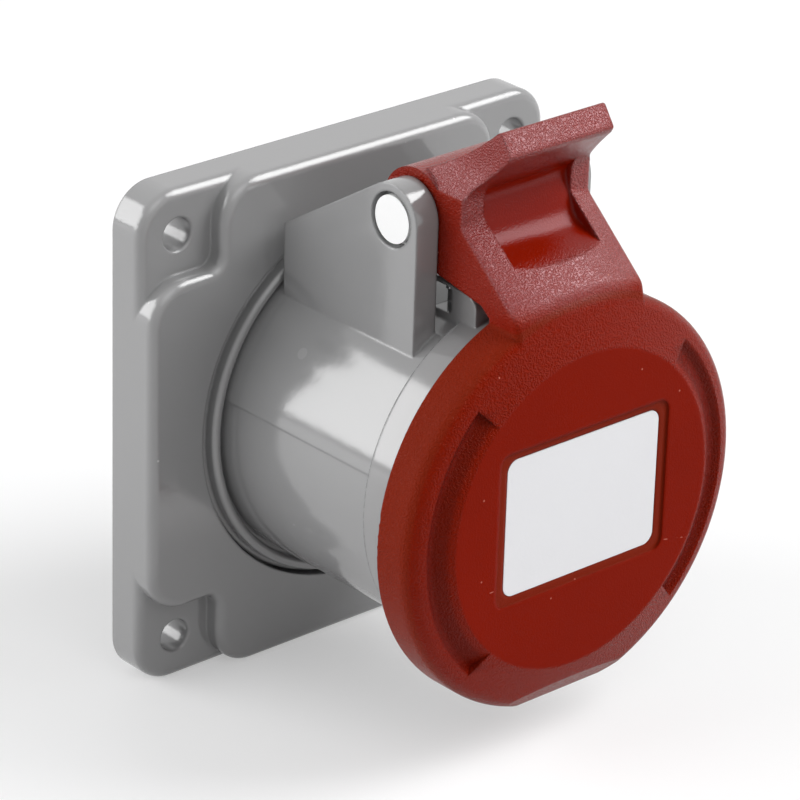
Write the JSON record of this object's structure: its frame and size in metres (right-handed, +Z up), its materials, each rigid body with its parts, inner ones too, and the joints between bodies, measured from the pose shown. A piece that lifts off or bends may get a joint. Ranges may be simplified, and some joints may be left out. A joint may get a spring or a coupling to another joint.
{
  "type": "panel socket outlet",
  "caption": "Grey panel-mounting power socket outlet with a square flange, a straight barrel and a sprung red hinged lid with a lifting tab.",
  "frame": {"origin": "middle of the flange's back face, on the barrel axis: the panel surface behind the flange", "axes": "+Z up, towards the hinge; +Y into the panel, so the barrel and lid point to -Y; +X to the right seen from the front"},
  "size_m": [0.085, 0.0832, 0.1028],
  "materials": {
    "grey_plastic": "smooth moulded light grey plastic with a soft gloss",
    "red_plastic": "moulded signal red plastic, finely grained on the arm and rim, smooth in the scoop and on the face",
    "white_plastic": "plain white",
    "black_rubber": "soft black sealing rubber",
    "steel": "bright zinc plated steel",
    "spring_steel": "drawn stainless wire and strip",
    "dark_insulator": "matt dark grey insulating plastic",
    "contact_brass": "turned brass"
  },
  "bodies": {
    "base": {"mounting_flange": "grey_plastic", "socket_barrel": "grey_plastic", "panel_gasket": "black_rubber", "barrel_seal": "black_rubber", "hinge_pin": "steel", "pin_caps": "white_plastic", "spring_right": "spring_steel", "spring_left": "spring_steel", "contact_carrier": "dark_insulator", "terminal_block": "dark_insulator", "contact_l1": "contact_brass", "contact_l2": "contact_brass", "contact_l3": "contact_brass", "contact_earth": "contact_brass", "phase_clips": "spring_steel", "earth_clip": "spring_steel", "terminal_screws": "steel", "clamp_plates": "steel", "carrier_screws": "steel", "block_screws": "steel"},
    "lid": {"hinge_lid": "red_plastic", "label_plate": "white_plastic", "lid_gasket": "black_rubber"}
  },
  "joints": [
    {"name": "lid_hinge", "type": "hinge", "parent": "base", "child": "lid", "pos_m": [0, -0.0371, 0.0433], "axis": [-1, 0, 0], "range_deg": [0, 110], "stiffness_Nm_per_rad": 0.06, "springref_deg": -68.75, "deforming": ["spring_right", "spring_left"]}
  ]
}
